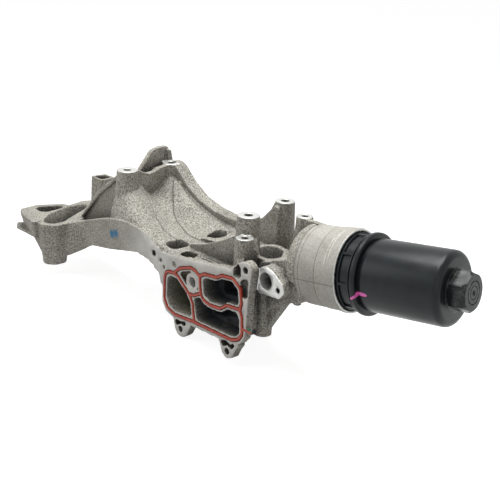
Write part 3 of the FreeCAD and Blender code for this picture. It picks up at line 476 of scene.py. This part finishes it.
def machined_share(points):
    """One on the boss faces, seats and bores that were cut after casting, nothing on the cast skin."""
    x, y, z = points.T
    cut = (np.hypot(x - FOOT_BOSS[0], y - FOOT_BOSS[1]) < 9.6) & (z < -33.5)
    for bx, by, bz, r, _ in BOSSES:
        cut |= (np.hypot(x - bx, y - by) < r + 0.3) & (np.abs(z - bz) < 0.55)
    # The sensor port's face and bore, and the threaded hole at the flange's centre.
    cut |= (np.abs(y - SENSOR_FACE) < 0.6) & (x > 81) & (x < 121.5) & (z > 15) & (z < 45.8)
    cut |= (np.hypot(x - SENSOR[0], z - SENSOR[1]) < 8.8) & (y > 10) & (y < 19)
    cut |= (np.hypot(x, z) < 6.3) & (y > 0.2) & (y < 16)
    for px, pz, top in REAR_PORTS:
        cut |= (np.hypot(x - px, z - pz) < 14.5) & (y > top - 2.6)
    # The bore inside the canister's mouth, and its rim.
    s, r, _ = canister_frame(points)
    cut |= (r < 36.3) & (s > -28) & (s < 0.6)
    cut |= (r < 38.8) & (s > -0.6) & (s < 0.6)
    return cut.astype(float)


def milled_share(points):
    """One on the flange's milled face, fading into the cast skin where the arm leaves the flange."""
    x, y, _ = points.T
    return (y < 0.35) * step(x, -118, -101) * (1 - 0.35 * step(-x, 72, 95))


def chamber_share(points):
    """One on the walls and floors of the flange's chambers, behind its face."""
    x, y, z = points.T
    inside = (x > -43) & (x < 76) & (z > -41) & (z < 18.3) & (y < 36)
    return inside * step(y, 0.8, 5.0)


def drilled_share(points):
    """One beside the edges of the drilled holes, which stay crisp."""
    x, y, z = points.T
    near = np.zeros(len(points), bool)
    for bx, by, bz, _, hole in BOSSES:
        near |= (np.hypot(x - bx, y - by) < hole + 0.8) & (z > bz - 24)
    for hx, hz in FLANGE_HOLES + [SENSOR_SCREW]:
        near |= (np.hypot(x - hx, z - hz) < 4.0) & (y < 30)
    return near.astype(float)


def remeshed(node, name, cell):
    """The node's own mesh, rebuilt in even cells."""
    obj = merged(node, name)
    remesh = obj.modifiers.new("cells", "REMESH")
    remesh.mode = "VOXEL"
    remesh.voxel_size = cell * MM
    return obj, baked(obj)


def cast_skin(name):
    """The casting in even cells, rounded everywhere but on its machined faces and the flange's face, as
    a cast edge has a radius and a cut one doesn't."""
    obj, mesh = remeshed("housing_casting", name, CAST_CELL)
    points = vertices(mesh)
    hold = np.maximum(machined_share(points), drilled_share(points))
    hold = np.maximum(hold, (points[:, 1] < 0.35) & (points[:, 0] > -90))
    place(mesh, inside_box(relaxed(mesh, points, hold, 2)))
    thin = obj.modifiers.new("fewer", "DECIMATE")
    thin.ratio = min(1.0, CAST_TRIANGLES / (2 * len(mesh.polygons)))
    mesh = baked(obj)
    points = vertices(mesh)
    attribute(mesh, "machined", machined_share(points))
    attribute(mesh, "milled", milled_share(points))
    attribute(mesh, "dark_chamber", chamber_share(points))
    attribute(mesh, "oily_brown", step(-points[:, 0], 3, 5))
    attribute(mesh, "pad_edge", beside(points, PAD_EDGE))
    attribute(mesh, "fold_edge", beside(points, FOLD_EDGE))
    s, r, _ = canister_frame(points)
    attribute(mesh, "smooth_skin", step(s, -46, -42) * step(r, 41, 39))
    mesh.shade_smooth()
    mesh.materials.append(cast_aluminium())
    return obj


# The cap

def rounded(profile):
    """Profile points (distance, radius, rounding), each rounded corner drawn as an arc of short runs."""
    out = []
    for i, point in enumerate(profile):
        here = np.array(point[:2], float)
        if len(point) < 3:
            out.append(here)
            continue
        before = np.array(profile[i - 1][:2], float) - here
        after = np.array(profile[(i + 1) % len(profile)][:2], float) - here
        la, lb = np.hypot(*before), np.hypot(*after)
        before, after = before / la, after / lb
        half = math.acos(max(-1.0, min(1.0, float(before @ after)))) / 2
        t = min(point[2] / math.tan(half), 0.45 * min(la, lb))
        r = t * math.tan(half)
        centre = here + (before + after) / np.hypot(*(before + after)) * r / math.sin(half)
        u0, u1 = here + before * t - centre, here + after * t - centre
        sweep = math.acos(max(-1.0, min(1.0, float(u0 @ u1) / r ** 2)))
        for k in np.linspace(0, 1, max(3, int(sweep * 6))):
            blend = math.sin((1 - k) * sweep) * u0 + math.sin(k * sweep) * u1
            out.append(centre + blend / math.sin(sweep))
    return np.array(out)


def cap_profile():
    """Half section of the cap, from its threaded skirt over the outside and back along the inside."""
    root, crest = 32.6, 33.7
    points = [(SKIRT_END, root - 1), (SKIRT_END + 1, root)]
    # Four ridges of the thread.
    for s in (-21.5, -17.5, -13.5, -9.5):
        points += [(s, root), (s + 0.9, crest), (s + 1.5, crest), (s + 2.4, root)]
    # The seal's groove, the collar and the bead.
    points += [(-5.2, root), (-5.2, crest + 0.6), (-4, crest + 0.6), (-4, 32.9), (-1.4, 32.9),
               (-1.4, 34.9), (0.3, COLLAR_R), (2.5, COLLAR_R), (2.7, COLLAR_R), (11.1, COLLAR_R),
               (11.3, COLLAR_R), (12.6, COLLAR_R), (13, 33.6), (14.2, 33.6), (14.6, 36.6),
               (15.2, BEAD_R, 0.9), (18.3, BEAD_R, 1.2), (19.5, 36.0, 0.6)]
    # The groove behind the bead, the cup and its shoulder, and the hexagon with two ring grooves and a
    # dimple in its end.
    points += [(19.9, 31.6), (22.1, 31.6), (23.1, CUP_R, 1.0), (CUP_END, CUP_R, 9.5),
               (CUP_END, 19.4, 0.5), (98.2, 18.9), (98.2, 18.6), (109.6, 18.9), (HEX_END, 15.6, 0.4),
               (HEX_END, 10.4), (111.8, 10.2), (111.8, 9.6), (HEX_END, 9.4), (HEX_END, 6.2),
               (112.0, 6.1), (112.0, 5.5), (HEX_END, 5.4), (HEX_END, 2.6), (112.4, 2.3), (110.6, 0)]
    # Back along the inside.
    points += [(107.8, 0), (107.8, 9.6), (CUP_FLOOR, 10.1), (CUP_FLOOR, 10.8), (72.6, 10.8),
               (72.6, 12.6), (CUP_FLOOR, 12.6, 1.5), (CUP_FLOOR, CUP_IN_R, 6.5), (SKIRT_END, CUP_IN_R)]
    return rounded(points)


def cap_surface(name):
    """Turns the half section round the canister's axis. The radius is cut back in the collar's windows,
    between its ribs, and past the shoulder it is never more than the hexagon's."""
    section = cap_profile()
    s, r = section[:, 0][:, None], section[:, 1][:, None]
    turn = np.arange(CAP_COLUMNS) * 2 * np.pi / CAP_COLUMNS
    outside = np.arange(len(section))[:, None] < np.argmax(section[:, 0] > HEX_END - 0.01)
    pane = 2 * np.pi / WINDOWS
    off = np.abs((turn + math.radians(2) + pane / 2) % pane - pane / 2)[None, :] * WINDOW_R
    window = step(off, 1.2, 1.5) * step(s, 2.55, 2.65) * step(s, 11.25, 11.15)
    radius = r - WINDOW_RECESS * window * outside
    side = np.pi / 3
    lean = np.abs(turn % side - side / 2)
    hexagon = HEX_FLATS / 2 / np.cos(lean)[None, :]
    radius = np.where((s > 98.1) & (r > 11), np.minimum(radius, hexagon), radius)
    spoke = np.sin(turn)[None, :, None] * ACROSS + np.cos(turn)[None, :, None] * UPWARD
    rows = MOUTH + s[..., None] * ALONG + radius[..., None] * spoke
    mesh = grid_mesh(name, inside_box(rows.reshape(-1, 3)).reshape(rows.shape))
    far, _, _ = canister_frame(vertices(mesh))
    attribute(mesh, "scuffed", step(far, 96.5, 98.5))
    mesh.shade_smooth()
    mesh.set_sharp_from_angle(angle=math.radians(32))
    mesh.materials.append(moulded_nylon())
    return link(name, mesh)


def soft_bead(name):
    """The gasket in even cells, rounded as moulded silicone is."""
    obj, mesh = remeshed("cooler_gasket", name, BEAD_CELL)
    points = vertices(mesh)
    points = relaxed(mesh, points, np.zeros(len(points)), 10)
    normals = np.empty(len(points) * 3, dtype=np.float32)
    mesh.vertices.foreach_get("normal", normals)
    # The bead is a little narrower than its groove, which shows as a dark line on each side.
    place(mesh, points - 0.35 * normals.reshape(-1, 3) * (1, 0, 1))
    mesh.shade_smooth()
    mesh.materials.append(plain_finish("red_silicone_moulded", "#932b17", "#b03c22", 3.0, 0.5))
    return obj


# Light, floor and camera

def white_for_sight(tree):
    """One for camera, mirror and glass rays, which see the plain white background."""
    path = add(tree, "ShaderNodeLightPath")
    seen = maths(tree, "MAXIMUM", path.outputs["Is Camera Ray"], path.outputs["Is Glossy Ray"])
    return maths(tree, "MAXIMUM", seen, path.outputs["Is Transmission Ray"])


def studio():
    """White world, pale floor that keeps the shadow, and three soft lamps."""
    scene = bpy.context.scene
    world = bpy.data.worlds.new("studio")
    scene.world = world
    world.use_nodes = True
    tree = world.node_tree
    tree.nodes.clear()
    strength = ramp(tree, white_for_sight(tree), 0.0, 1.0, WORLD_LIGHT, 1.0)
    sky = add(tree, "ShaderNodeBackground", {"Color": (1, 1, 1, 1), "Strength": strength})
    add(tree, "ShaderNodeOutputWorld", {"Surface": sky.outputs[0]})

    floor = bpy.data.meshes.new("floor")
    # Half a millimetre under the part.
    low, far = cad_box[0][2] - 0.0005, FLOOR_REACH
    floor.from_pydata([(-far, -far, low), (far, -far, low), (far, far, low), (-far, far, low)], [],
                      [(0, 1, 2, 3)])
    floor = link("floor", floor)
    material, tree, _ = blank("pale_floor")
    paper = add(tree, "ShaderNodeBsdfDiffuse", {"Color": (FLOOR_PAPER, FLOOR_PAPER, FLOOR_PAPER, 1)})
    seen = times(tree, white_for_sight(tree), FLOOR_GLOW)
    glow = add(tree, "ShaderNodeEmission", {"Color": (1, 1, 1, 1), "Strength": seen})
    lit = add(tree, "ShaderNodeAddShader", {0: glow.outputs[0], 1: paper.outputs[0]})
    close(tree, lit.outputs[0])
    floor.data.materials.append(material)

    for name, spot, power, size in LAMPS:
        lamp = bpy.data.lights.new(name, "AREA")
        lamp.energy = power
        lamp.shape = "SQUARE"
        lamp.size = size
        obj = link(name, lamp)
        back = np.array(spot) / np.linalg.norm(spot)
        right = np.cross((0, 0, 1.0), back)
        right = right / np.linalg.norm(right)
        up = np.cross(back, right)
        rows = [(right[i], up[i], back[i], spot[i]) for i in range(3)]
        obj.matrix_world = Matrix(rows + [(0, 0, 0, 1)])


def camera():
    """The photograph's viewpoint: turned, looking down and rolled a little."""
    turn, down, roll = (math.radians(angle) for angle in (VIEW_TURN, VIEW_DOWN, VIEW_ROLL))
    near = np.array([0, -math.sin(down), math.cos(down)])
    up = np.array([0, math.cos(down), math.sin(down)])
    right = np.array([1.0, 0, 0])
    tilt = np.array([[math.cos(roll), math.sin(roll), 0], [-math.sin(roll), math.cos(roll), 0],
                     [0, 0, 1]])
    axes = [tilt @ (math.cos(turn) * right + math.sin(turn) * near),
            tilt @ (math.sin(turn) * right - math.cos(turn) * near), tilt @ up]
    lens = bpy.data.cameras.new("view")
    lens.sensor_width = FILM_WIDTH
    lens.lens = LENS
    obj = link("view", lens)
    obj.matrix_world = Matrix([(*axes[i], VIEW_SPOT[i]) for i in range(3)] + [(0, 0, 0, 1)])
    bpy.context.scene.camera = obj


camera()
studio()
bpy.context.scene.view_settings.view_transform = "Standard"

skin = cast_skin("cast_housing")
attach(skin, "casting")
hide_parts("housing_casting")

cap = cap_surface("screw_cap")
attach(cap, "cap")
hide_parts("filter_cap")

gasket = soft_bead("moulded_gasket")
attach(gasket, "casting")
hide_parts("cooler_gasket")

# The two valve springs, each on the body that carries it, with a mesh of its own.
wire = plain_finish("drawn_spring_wire", "#85858a", "#a9a9ad", 1.0, 0.30, 0.95)
for node, body, joint, axis, travel in (("bypass_spring", "cartridge", "bypass_open", ALONG, 4.0),
                                        ("check_spring", "casting", "check_open", (0, 1, 0), 3.0)):
    coil = merged(node, node + "_coil")
    coil.data.materials.append(wire)
    reach = vertices(coil.data) @ np.array(axis, float)
    anchor = vertices(coil.data)[int(np.argmin(reach))]
    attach(coil, body)
    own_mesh(coil)
    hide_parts(node)

# Finishes of the pieces whose solids stay as they are.
rubber = plain_finish("nitrile_rubber", "#1b1b1b", "#2a2a29", 2.0, 0.55)
steel = plain_finish("zinc_plated_steel", "#9c9a92", "#bebcb4", 1.5, 0.35, 0.9)
plastic = plain_finish("grey_moulded_plastic", "#5c6064", "#6d7175", 2.5, 0.5)
paper = plain_finish("pleated_filter_paper", "#cdb27a", "#e0cb98", 0.8, 0.9, 0.0, 0.4)
FINISH = {"cap_seal": rubber, "standpipe_seal": rubber, "drain_seal": rubber, "port_seals": rubber,
          "element_media": paper, "element_outer_disc": plastic, "element_inner_disc": plastic,
          "element_core": plastic, "bypass_cage": plastic, "bypass_poppet": plastic, "standpipe": steel,
          "check_seat": steel, "check_cage": steel, "gallery_plugs": steel, "check_ball": wire}
for node, finish in FINISH.items():
    for held in nodes[node].material_slots:
        held.material = finish
